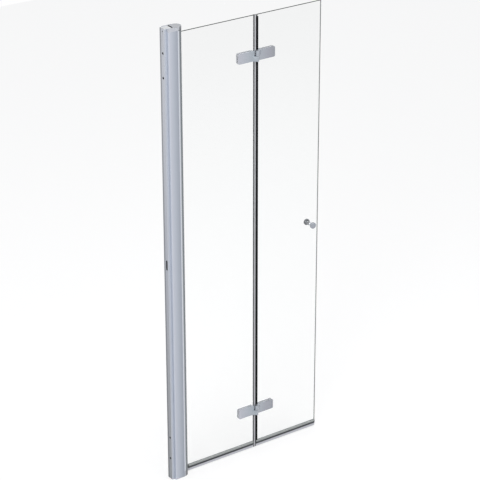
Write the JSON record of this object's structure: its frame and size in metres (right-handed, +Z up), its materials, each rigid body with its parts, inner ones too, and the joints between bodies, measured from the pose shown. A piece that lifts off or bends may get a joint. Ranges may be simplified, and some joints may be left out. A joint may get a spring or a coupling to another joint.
{
  "type": "bifold shower door",
  "caption": "Frameless bifold shower door: clear glass leaves joined by surface hinges, folding inwards from a slim wall post, with a round knob and bottom seals.",
  "frame": {"origin": "on the wall face, in the plane of the glass, level with the foot of the post", "axes": "+X along the closed door away from the wall, +Y into the shower, +Z up; the door is drawn closed"},
  "size_m": [0.757, 0.0582, 2],
  "materials": {
    "channel_alloy": "bright anodised, silvery",
    "post_alloy": "polished anodised, silvery",
    "column_alloy": "polished anodised, silvery",
    "cap_finish": "silver plated moulding",
    "channel_plug": "silver plated moulding",
    "bush_plastic": "dark acetal",
    "washer_plastic": "natural nylon",
    "screw_steel": "stainless",
    "pin_steel": "ground stainless",
    "grey_rubber": "matt",
    "glass": "clear toughened",
    "edge_seal_grey": "grey, satin",
    "edge_gasket_black": "black, satin",
    "rail_alloy": "satin anodised",
    "lip_vinyl": "translucent vinyl",
    "hinge_chrome": "satin chrome",
    "knob_chrome": "polished chrome"
  },
  "bodies": {
    "wall_frame": {"wall_channel": "channel_alloy", "channel_top_cap": "channel_plug", "channel_foot_cap": "channel_plug"},
    "post": {"hinge_post": "post_alloy", "post_top_cap": "cap_finish", "post_foot_cap": "cap_finish", "top_pivot_bush": "bush_plastic", "foot_pivot_bush": "bush_plastic", "thrust_washer": "washer_plastic", "clamp_screws": "screw_steel", "top_cap_screws": "screw_steel", "foot_cap_screws": "screw_steel", "front_wiper_strip": "grey_rubber", "back_wiper_strip": "grey_rubber"},
    "inner_leaf": {"pivot_column": "column_alloy", "top_pivot_pin": "pin_steel", "foot_pivot_pin": "pin_steel", "glazing_gasket": "grey_rubber", "inner_glass": "glass", "inner_edge_seal": "edge_seal_grey", "inner_bottom_rail": "rail_alloy", "inner_bottom_seal": "lip_vinyl", "top_inner_hinge_plate": "hinge_chrome", "foot_inner_hinge_plate": "hinge_chrome", "top_inner_back_plate": "hinge_chrome", "foot_inner_back_plate": "hinge_chrome", "top_inner_hinge_pads": "washer_plastic", "foot_inner_hinge_pads": "washer_plastic", "top_inner_hinge_screws": "screw_steel", "foot_inner_hinge_screws": "screw_steel", "top_hinge_pin": "pin_steel", "foot_hinge_pin": "pin_steel"},
    "outer_leaf": {"outer_glass": "glass", "outer_edge_gasket": "edge_gasket_black", "outer_bottom_rail": "rail_alloy", "outer_bottom_seal": "lip_vinyl", "top_outer_hinge_plate": "hinge_chrome", "foot_outer_hinge_plate": "hinge_chrome", "top_outer_back_plate": "hinge_chrome", "foot_outer_back_plate": "hinge_chrome", "top_outer_hinge_pads": "washer_plastic", "foot_outer_hinge_pads": "washer_plastic", "top_outer_hinge_screws": "screw_steel", "foot_outer_hinge_screws": "screw_steel", "top_hinge_bush": "bush_plastic", "foot_hinge_bush": "bush_plastic", "front_knob": "knob_chrome", "back_knob": "knob_chrome", "knob_stud": "pin_steel", "knob_washers": "washer_plastic"}
  },
  "joints": [
    {"name": "width_adjust", "type": "slide", "parent": "wall_frame", "child": "post", "axis": [1, 0, 0], "range_m": [-0.003, 0.012]},
    {"name": "wall_pivot", "type": "hinge", "parent": "post", "child": "inner_leaf", "pos_m": [0.062, 0, 0], "axis": [0, 0, 1], "range_deg": [0, 90]},
    {"name": "fold", "type": "hinge", "parent": "inner_leaf", "child": "outer_leaf", "pos_m": [0.437, -0.0125, 0], "axis": [0, 0, -1], "range_deg": [0, 176]}
  ]
}
